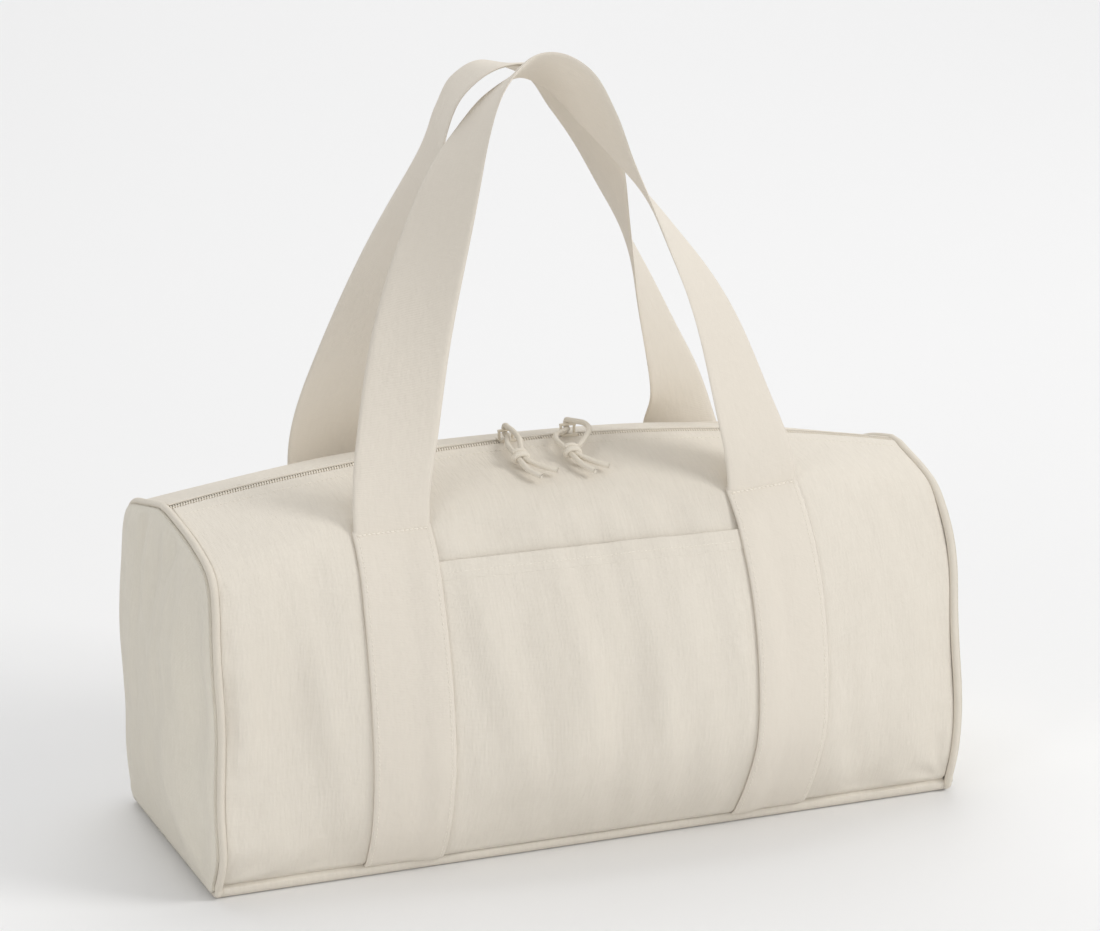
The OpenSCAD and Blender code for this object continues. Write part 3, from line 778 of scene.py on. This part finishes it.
def make_piping(end):
    side = END_WORD[end]
    # the bead takes the darker copy of the canvas, with painted shade along the seam
    for part, radius, sides, material, slot, node_name in (
            ("bead", PIPING_R, 16, PIPING_SHADED_CANVAS, "canvas", f"{side}_piping"),
            ("core", PIPING_CORD_R, 8, CORD, "piping_cord", f"{side}_piping_cord")):
        rings = seam_rings(end, radius, sides)
        obj = tube(f"{side}_piping_{part}", rings, True, np.arange(float(sides)), flip=end == LEFT)
        give(obj, material, "bag", slot, node_name)


# An end panel's rings are shares of the way from its middle to the seam. Beyond the edge it turns in.
END_EDGE = 0.99
END_TURNS_IN = [(0.984, 1.0), (0.972, 2.8)]
# Dents and waves as on the walls, with y in place of x
END_DENTS = [
    ((-80, 130), (11, 66), -4.2), ((-50, 70), (20, 46), 2.4), ((70, 120), (14, 60), -2.2),
    ((-20, 30), (40, 16), -1.6), ((-40, 150), (10, 60), 2.6), ((20, 160), (24, 46), -2.6)]
END_WAVES = [(0.9, 57, 7, 62, 130), (0.35, 61, 8, 24, 60)]
LOWEST_SWELL = 0.05


def end_folds(end, y, z, from_top):
    """Folds that hang from an end panel's top seam, with waves and dents."""
    fall = np.exp(-from_top / 62)
    folds = 3.2 * fall * np.sin(y / 6.4 + 1.4 * np.sin(y / 23) + end) * ease(from_top / 14)
    folds = folds + 0.8 * fall * np.sin(y / 3.1 + 2) * ease(from_top / 10)
    for height, seed, count, long_y, long_z in END_WAVES:
        folds = folds + height * waves(y, z, seed + end, count, long_y, long_z)
    for at, size, depth in END_DENTS:
        folds = folds + dent(y, z, at, size, depth)
    return folds


def make_end_panel(end):
    side = END_WORD[end]
    line = seam_line(end)
    top, low = line[:, 1].max(), line[:, 1].min()
    middle = np.array([0, (top + low) / 2])
    rim = SEAM_X + PIPING_R + PIPING_GAP
    face = np.concatenate([np.linspace(0.02, 0.9, 42), np.linspace(0.9, END_EDGE, 10)[1:]])
    shares = np.append(face, [share for share, inward in END_TURNS_IN])
    turned = np.append(np.zeros(len(face)), [inward for share, inward in END_TURNS_IN])
    places = middle + (line - middle)[:, None] * shares[None, :, None]
    y, z = places[..., 0], places[..., 1]
    s = np.broadcast_to(shares, y.shape)
    folds = end_folds(end, y, z, top - z)
    depth = END_SWELL * (1 - s ** 2.4) + folds * ease((END_EDGE - s) / 0.15)
    # the panel is drawn in along its seam
    depth = depth - 0.5 * np.exp(-((END_EDGE - s) / 0.02) ** 2)
    depth = np.where(turned > 0, -turned, np.maximum(depth, LOWEST_SWELL))
    outer, inner = (sway(np.stack([end * (rim + depth + off), y, z], -1)) for off in (CANVAS_T, 0.0))
    obj = disc(f"{side}_end", outer, inner, places, middle, end == LEFT)
    # the end panels take the canvas copy with the painted shade tint
    give(obj, END_CANVAS_SHADE_TINT, "bag", "canvas", f"{side}_end_panel")


for end in (LEFT, RIGHT):
    make_piping(end)
    make_end_panel(end)


# Pocket

POCKET_FROM = STRAP_X[(FRONT, LEFT)] + WEB_W / 2
POCKET_TO = STRAP_X[(FRONT, RIGHT)] - WEB_W / 2
POCKET_UNDER_STRAP = 7.0
HEM_UNDER_STRAP = 2.5
# The turned-in cloth below a layer's edge, which shifts the weave
POCKET_CLOTH_FROM = 13.0
HEM_CLOTH_FROM = 3.0
POCKET_OFF = 0.6
HEM_SUNK = 0.25
HEM_EDGE_T = 0.32


def pocket_off(x, share):
    """How far the pocket lies off the wall, at a share of its height."""
    beside = np.minimum(x - POCKET_FROM, POCKET_TO - x) / (POCKET_TO - POCKET_FROM)
    drawn = 1 - 0.6 * ease((share - 0.65) / 0.33)
    return POCKET_OFF + POCKET_ROOM * ease(beside * 4) * ease(share * 2) * drawn


def pocket_grid(under_strap, columns, shares):
    """Columns that reach under the straps, and the place, row and share of each point on the pocket."""
    xs = np.linspace(POCKET_FROM - under_strap, POCKET_TO + under_strap, columns)
    x, share = pairs(xs, shares)
    u = (row_at(FRONT, xs, POCKET_H)[:, None] * shares[None]).ravel()
    return xs, x, u, share


def make_pocket():
    xs, x, u, share = pocket_grid(POCKET_UNDER_STRAP, 130, np.linspace(0, 1, 120))
    off = pocket_off(x, share)
    outer, inner = (wall(FRONT, x, u, face) for face in (off + CANVAS_T, off))
    obj = wall_layer("pocket", FRONT, xs, outer, inner, POCKET_CLOTH_FROM)
    give(obj, CANVAS, "bag", "canvas", "front_pocket")


def make_hem():
    """The pocket's hem: a folded layer along its mouth, with its ends under the straps."""
    low = 1 - HEM_H / POCKET_H
    edge = low + 0.012
    shares = np.concatenate([np.linspace(low, edge, 5)[:-1], np.linspace(edge, 1, 14)])
    xs, x, u, share = pocket_grid(HEM_UNDER_STRAP, 150, shares)
    off = pocket_off(x, share) + CANVAS_T - HEM_SUNK
    proud = HEM_EDGE_T * (1 + ease((share - low) / 0.015))
    outer, inner = (wall(FRONT, x, u, face) for face in (off + proud, off))
    obj = wall_layer("pocket_hem_fold", FRONT, xs, outer, inner, HEM_CLOTH_FROM)
    give(obj, CANVAS, "bag", "canvas", "pocket_hem")


make_pocket()
make_hem()


# Straps and stitching

STRAP_OFF = 0.5
STRAP_OVER_POCKET = 9.0
WEB_CROWN = 0.25


def strap_lift(side, x, u):
    """How far a strap lies off its wall, more where the pocket is under it."""
    lift = STRAP_OFF * np.ones_like(x)
    if side == FRONT:
        beside = np.minimum(x - (POCKET_FROM - STRAP_OVER_POCKET), (POCKET_TO + STRAP_OVER_POCKET) - x)
        tops = row_at(FRONT, x, POCKET_H)
        above = 1 - ease((u - tops) / 0.9)
        lift = lift + (CANVAS_T + STRAP_OFF) * above * ease((beside + 14) / 16)
    return lift


def strap_points(side, x, rise, off):
    """Points on a sewn strap, at shares of its height."""
    u = rise * row_at(side, x, STRAP_TOP, STRAP_OFF + off)
    return wall(side, x, u, strap_lift(side, x, u) + off)


def make_strap(side, end, word):
    mid = STRAP_X[(side, end)]
    xs = np.linspace(mid - WEB_W / 2, mid + WEB_W / 2, 34)
    x, rise = pairs(xs, np.linspace(0.0, 1, 130))
    crown = WEB_CROWN * (1 - (np.abs(x - mid) / (WEB_W / 2)) ** 6)
    outer = strap_points(side, x, rise, WEB_T - WEB_CROWN + crown)
    inner = strap_points(side, x, rise, 0.0)
    give(wall_layer(f"{word}_webbing", side, xs, outer, inner), WEBBING, "bag", "webbing", f"{word}_strap")


for side, side_word in ((FRONT, "front"), (BACK, "back")):
    for end in (LEFT, RIGHT):
        make_strap(side, end, f"{side_word}_{END_WORD[end]}")


# Each kind of stitch: its pitch, its length and half its thickness
TOP_STITCH = (3.1, 2.7, 0.50)
EDGE_STITCH = (3.0, 2.3, 0.26)
HEM_STITCH = (2.8, 2.1, 0.24)
ZIP_STITCH = (2.9, 2.1, 0.24)
STITCH_SIDES = 6
STITCH_CUTS = 5
STITCH_SINKS = 0.25
# Where the rows of stitches run
TOP_ROW_HALF = 23.4
TOP_ROW_RISE = 0.9855
EDGE_ROW_OUT = 22.6
HEM_ROW_DOWN = 8.5
HEM_ROW_IN = 4.0
ZIP_ROW_DOWN = 0.22
ZIP_ROW_IN = 3.0


def sew(name, places, stitch, *nodes):
    """A row of short rounded stitches. places is a list of (point, direction, outward)."""
    length, thick = stitch[1:]
    sides, cuts = STITCH_SIDES, STITCH_CUTS
    points, faces = [], []
    for at, run, out in places:
        aside = np.cross(run, out)
        start = len(points)
        for k in range(cuts):
            f = k / (cuts - 1)
            fat = thick * math.sin(math.pi * (0.12 + 0.76 * f)) ** 0.6
            c = at + run * length * (f - 0.5) - out * STITCH_SINKS * (2 * f - 1) ** 2
            for j in range(sides):
                a = 2 * math.pi * j / sides
                points.append(c + (aside * math.cos(a) + out * math.sin(a)) * fat)
        for k in range(cuts - 1):
            for j in range(sides):
                a, b = start + k * sides + j, start + k * sides + (j + 1) % sides
                faces.append([a, b, b + sides, a + sides])
        faces.append([start + j for j in range(sides)][::-1])
        faces.append([start + (cuts - 1) * sides + j for j in range(sides)])
    give(mesh_piece(name, points, faces), THREAD, "bag", "thread", *nodes)


def stitch_places(points, outward, stitch):
    """Places for stitches at their pitch along a line of points."""
    s = distances(points)
    at = np.arange(stitch[0] / 2, s[-1], stitch[0])

    def read(values, at):
        return np.stack([np.interp(at, s, values[:, k]) for k in range(3)], -1)

    run = unit(read(points, at + 0.5) - read(points, at - 0.5))
    out = read(outward, at)
    out = unit(out - run * (out * run).sum(1, keepdims=True))
    return list(zip(read(points, at), run, out))


def line_on(read, side, x, u, off):
    """Points of a line on a wall or strap, and the directions out of the cloth there."""
    points = read(side, x, u, off)
    return points, unit(read(side, x, u, off + 1.0) - points)


def sew_straps():
    tops, edges = [], []
    for side in (FRONT, BACK):
        for end in (LEFT, RIGHT):
            mid = STRAP_X[(side, end)]
            x = np.linspace(mid - TOP_ROW_HALF, mid + TOP_ROW_HALF, 40)
            line = line_on(strap_points, side, x, np.full_like(x, TOP_ROW_RISE), WEB_T + 0.12)
            tops += stitch_places(*line, TOP_STITCH)
            for s in (-1, 1):
                rise = np.linspace(0.01, 0.985, 160)
                x = np.full_like(rise, mid + s * EDGE_ROW_OUT)
                line = line_on(strap_points, side, x, rise, WEB_T - 0.02)
                edges += stitch_places(*line, EDGE_STITCH)
    sew("strap_top_stitches", tops, TOP_STITCH, "strap_stitching")
    sew("strap_edge_stitches", edges, EDGE_STITCH, "strap_stitching")


def sew_hem():
    xs = np.linspace(POCKET_FROM + HEM_ROW_IN, POCKET_TO - HEM_ROW_IN, 160)
    share = 1 - HEM_ROW_DOWN / POCKET_H
    off = pocket_off(xs, np.full_like(xs, share)) + CANVAS_T + 0.42
    line = line_on(wall, FRONT, xs, row_at(FRONT, xs, POCKET_H) * share, off)
    sew("hem_stitches", stitch_places(*line, HEM_STITCH), HEM_STITCH)


def sew_beside_zip():
    places = []
    for side in (FRONT, BACK):
        xs = np.linspace(-WALL_END + ZIP_ROW_IN, WALL_END - ZIP_ROW_IN, 240)
        line = line_on(wall, side, xs, np.full_like(xs, LAST - ZIP_ROW_DOWN), 0.1)
        places += stitch_places(*line, ZIP_STITCH)
    sew("zip_topstitches", places, ZIP_STITCH)


sew_straps()
sew_hem()
sew_beside_zip()


# Handles: each is the free loop of one webbing

# Places round each loop from its left foot to its right one: how far across, as a share of the foot's
# own distance, how far up, as a share of the rise, and how far the webbing has turned, in degrees.
ACROSS = {FRONT: [-1, -1, -1, -0.9925, -0.957, -0.811, -0.565, -0.41, -0.27, -0.09, 0.10, 0.24, 0.38,
                  0.583, 0.802, 0.942, 0.985, 1, 1, 1],
          BACK: [-1, -1, -1, -0.985, -0.925, -0.722, -0.52, -0.455, -0.37, -0.18, 0.12, 0.28, 0.41,
                 0.545, 0.716, 0.93, 0.986, 1, 1, 1]}
RISES = [0, 0.02, 0.05, 0.09, 0.15, 0.43, 0.73, 0.87, 0.955, 1, 0.96, 0.87, 0.76, 0.60, 0.40, 0.15,
         0.09, 0.05, 0.02, 0]
TURNS = {FRONT: [0, 0, 0, 3, 9, 32, 62, 83, 96, 104, 107, 98, 80, 60, 38, 18, 10, 4, 0, 0],
         BACK: [0, 0, 0, 6, 20, 51, 92, 102, 104, 108, 119, 121, 110, 89, 63, 38, 22, 8, 1, 0]}
LOOP_POINTS = 260
SECTION_POINTS = 22
CUP = 0.9
WIDTH_WANDER = 0.012
# The first and last points of a loop give way to rows that run into the sewn straps' tops.
FOOT_POINTS = 4
SEWN_RISES = (0.985, 0.995)
# Short folds are averaged out over this distance, near the feet only.
AVERAGED_OVER = 21.0
AVERAGED_TO = 120.0
AVERAGE_FADES = 70.0


def handle_frames(side):
    """The middle of a loop, and the directions across the webbing and through it."""
    shares = ACROSS[side]
    foot_y, top_y, rise = HINGE_Y[side], TOP_Y[side], RISE[side]
    lean = math.atan((foot_y - top_y) / rise)
    out = np.array([0, math.cos(lean), math.sin(lean)])
    last = len(shares) - 1
    u = np.linspace(0, last, LOOP_POINTS)

    def place(u):
        s, up = curve(shares, u), curve(RISES, u)
        x = np.abs(s) * np.where(s < 0, STRAP_X[(side, LEFT)], STRAP_X[(side, RIGHT)])
        return np.stack([x, foot_y + (top_y - foot_y) * up, HINGE_Z + rise * up], -1)

    run = unit(place(np.minimum(last, u + ROW_STEP)) - place(np.maximum(0, u - ROW_STEP)))
    across = unit(np.cross(run, out))
    turn = np.radians(curve(TURNS[side], u))[:, None]
    wide = across * np.cos(turn) + out * np.sin(turn) * side
    to_side = np.array([1, side, 1])
    return place(u) * to_side, wide * to_side, np.cross(run, wide) * to_side


def webbing_section():
    """The webbing's rounded flat outline: shares of its half width, and heights."""
    w = np.linspace(-1, 1, SECTION_POINTS)
    half_t = WEB_T / 2 * np.clip(1 - np.abs(w) ** 14, 0, 1) ** 0.5 * 0.98 + 0.02
    return np.append(w, w[::-1]), np.append(half_t, -half_t[::-1])


def foot_rows(side, end, across, height, wide, thick):
    """The rows at a loop's foot, on the sewn strap."""
    xs = STRAP_X[(side, end)] + np.sign(wide[0]) * across * WEB_W / 2
    face = np.sign(thick[1] * side)
    rows = []
    for rise in SEWN_RISES:
        middle, out = line_on(strap_points, side, xs, np.full_like(xs, rise), WEB_T / 2 - 0.05)
        rows.append(middle + out * (height * face * 0.92)[:, None])
    return np.array(rows)


def drawn_out(rings):
    """Draws the short folds out of a ribbon near its two feet, and leaves the feet themselves in place."""
    s = distances(rings.mean(1))
    # the ribbon goes on beyond each foot, turned about it, so that the average leaves the foot where it is
    n = len(s) // 4
    longer = np.concatenate([2 * rings[:1] - rings[n:0:-1], rings, 2 * rings[-1:] - rings[-2:-2 - n:-1]])
    at = np.concatenate([-s[n:0:-1], s, 2 * s[-1] - s[-2:-2 - n:-1]])
    weight = np.exp(-((s[:, None] - at[None]) / AVERAGED_OVER) ** 2) * np.gradient(at)[None]
    weight /= weight.sum(1, keepdims=True)
    average = np.einsum("ij,jkc->ikc", weight, longer)
    from_foot = np.minimum(s, s[-1] - s)
    near = 1 - ease((from_foot - AVERAGED_TO) / AVERAGE_FADES)
    return rings + near[:, None, None] * (average - rings)


def face_outwards(mesh):
    """Turns the faces of a closed mesh outwards."""
    volume = 0
    for face in mesh.polygons:
        volume += mesh.vertices[face.vertices[0]].co.dot(face.normal) * face.area
    if volume < 0:
        mesh.flip_normals()


def make_handle(side, name, node_name):
    middle, wide, thick = handle_frames(side)
    s = distances(middle)
    share = s / s[-1]
    across, height = webbing_section()
    # the webbing cups very slightly, and its width wanders
    cup = CUP * np.sin(np.pi * np.clip(share, 0, 1)) ** 2
    width = WEB_W / 2 * (1 - WIDTH_WANDER * np.sin(s / 47) * np.sin(np.pi * share))
    bow = -side * cup[:, None] * (1 - across ** 2)
    rings = (middle[:, None] + wide[:, None] * (across * width[:, None])[..., None]
             + thick[:, None] * (height + bow)[..., None])
    left = foot_rows(side, LEFT, across, height, wide[0], thick[0])
    right = foot_rows(side, RIGHT, across, height, wide[-1], thick[-1])
    rings = drawn_out(np.concatenate([left, rings[FOOT_POINTS:-FOOT_POINTS], right[::-1]]))
    obj = tube(name, rings, False, across * WEB_W / 2)
    face_outwards(obj.data)
    obj.data.materials.append(WEBBING)
    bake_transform(obj)
    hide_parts(node_name)


make_handle(FRONT, "front_handle_loop", "front_handle")
make_handle(BACK, "back_handle_loop", "back_handle")


# Zip: tapes, coil and sliders

# A tape's section: how far out from the zip's middle, and how high over its line
TAPE_PROFILE = [(0.15, -1.5), (3.0, -1.5), (6.5, -1.5), (11, -3.0), (16, -4.7)]
TAPE_T = 0.8
TAPE_PARTS_TO = 7
# A tooth's section: the same, and half its width along the zip
TOOTH = [(0.25, -1.15, 0.34), (0.2, 0.1, 0.44), (0.7, 0.62, 0.42), (2.2, 0.6, 0.36), (2.85, 0.0, 0.34),
         (2.9, -1.15, 0.34)]
TOOTH_PITCH = 1.7
PARTED_BY = 0.9
PARTED_REACH = 8.0
SLIDER_ROUND = 0.5


def zip_point(x, y, h):
    """A place beside the zip line, h over it."""
    t = zip_tilt(x)
    r = ARC_R + h
    return np.stack([-ZIP_PEAK + r * np.sin(t), y + 0 * x, ZIP_H - ARC_R + r * np.cos(t)], -1)


def parted(x):
    """How far each half of the zip stands open midway between the two sliders."""
    from_middle = (x - (SLIDER_X[LEFT] + SLIDER_X[RIGHT]) / 2) / PARTED_REACH
    return PARTED_BY * (1 - np.clip(from_middle ** 2, 0, 1)) ** 2


def make_tape(side, word):
    reach = WALL_END + UNDER_PIPING
    xs = np.linspace(-reach, reach, 260)
    layers = []
    for down in (0.0, TAPE_T):
        rows = [zip_point(xs, side * (y + parted(xs) * (y < TAPE_PARTS_TO)), h - down)
                for y, h in TAPE_PROFILE]
        layers.append(np.stack(rows, 1))
    obj = slab(f"{word}_tape", *layers, cloth_places(xs, layers[0]), flip=side == BACK)
    give(obj, TAPE, "bag", "zip_tape", f"{word}_zip_tape")


def make_coil(side, word):
    """One rounded tooth after another. The two halves' teeth stand in turn."""
    reach = WALL_END + COIL_UNDER_PIPING
    first = -reach if side == FRONT else -reach + TOOTH_PITCH / 2
    points, faces = [], []
    n = len(TOOTH)
    for x in np.arange(first, reach, TOOTH_PITCH):
        start = len(points)
        for y, h, half in TOOTH:
            for s in (-1, 1):
                points.append(zip_point(x + s * half, side * (y + parted(x)), h))
        for k in range(n - 1):
            a = start + 2 * k
            faces.append([a, a + 1, a + 3, a + 2])
        faces.append([start + 2 * k for k in range(n)][::-1])
        faces.append([start + 2 * k + 1 for k in range(n)])
        faces.append([start + 2 * n - 2, start + 2 * n - 1, start + 1, start])
    obj = mesh_piece(f"{word}_coil", points, faces, smooth=False)
    give(obj, COIL, "bag", "zip_coil", f"{word}_zip_coil")


for side, side_word in ((FRONT, "front"), (BACK, "back")):
    make_tape(side, side_word)
    make_coil(side, side_word)

# the sliders keep their solids' shape, with rounded edges
for end in (LEFT, RIGHT):
    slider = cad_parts[f"{END_WORD[end]}_slider"]
    slider.data.materials.clear()
    slider.data.materials.append(SLIDER)
    bevel = slider.modifiers.new("rounded", "BEVEL")
    bevel.width = SLIDER_ROUND * MM
    bevel.segments = 2
    bevel.limit_method = "ANGLE"


# Floor, backdrop and light

# The paper's section: it lies flat, and turns up far behind.
PAPER_Y = [-16000, -9000, -3500, 0, 4500, 6500, 7400, 7900, 8150, 8250, 8250]
PAPER_Z = [0, 0, 0, 0, 0, 0, 130, 480, 1000, 2000, 4000]
PAPER_HALF_W = 14000


def add_stage():
    t = np.linspace(0, len(PAPER_Y) - 1, 90)
    y, z = curve(PAPER_Y, t), np.maximum(curve(PAPER_Z, t), 0)
    xs = np.linspace(-PAPER_HALF_W, PAPER_HALF_W, 9)
    points = np.array([[x, a, b] for x in xs for a, b in zip(y, z)])
    floor = mesh_piece("floor", points, grid_faces(len(xs), len(t)))
    paper, tree = new_material("studio_paper")
    set_inputs(tree.nodes["Principled BSDF"], Base_Color=(0.86, 0.86, 0.862, 1), Roughness=0.85,
               Specular_IOR_Level=0.15)
    floor.data.materials.append(paper)


def area_light(name, at, to, size, power, colour=(1, 1, 1)):
    """A light at a place, aimed at another. Places and sizes are in metres, and power is in watts."""
    data = bpy.data.lights.new(name, "AREA")
    data.shape = "RECTANGLE"
    data.size, data.size_y = size
    data.energy = power
    data.color = colour
    light = bpy.data.objects.new(name, data)
    light.location = at
    light.rotation_euler = (Vector(to) - Vector(at)).to_track_quat("-Z", "Y").to_euler()
    bpy.context.scene.collection.objects.link(light)


def add_world():
    world = bpy.data.worlds.new("soft_studio")
    world.use_nodes = True
    set_inputs(world.node_tree.nodes["Background"], Color=(1, 1, 1, 1), Strength=0.49)
    bpy.context.scene.world = world
    bpy.context.scene.view_settings.view_transform = "Standard"


add_stage()
area_light("key", (3.4, -2.5, 2.8), (0, 0, 0.2), (1.8, 1.8), 98, (1, 0.995, 0.985))
area_light("top", (0.0, 0.9, 3.0), (0, 0, 0.1), (2.4, 2.0), 24)
area_light("right_side", (2.6, 0.4, 1.3), (0.3, 0, 0), (1.4, 1.6), 2)
area_light("front_fill", (-0.5, -3.4, 0.6), (0, 0, 0.1), (3.0, 0.9), 11)
area_light("left_fill", (-2.6, -1.8, 1.2), (0, 0, 0.1), (1.0, 1.0), 14)
area_light("far_floor", (1.6, 4.2, 3.2), (1.6, 4.2, 0), (4.0, 3.6), 64)
add_world()
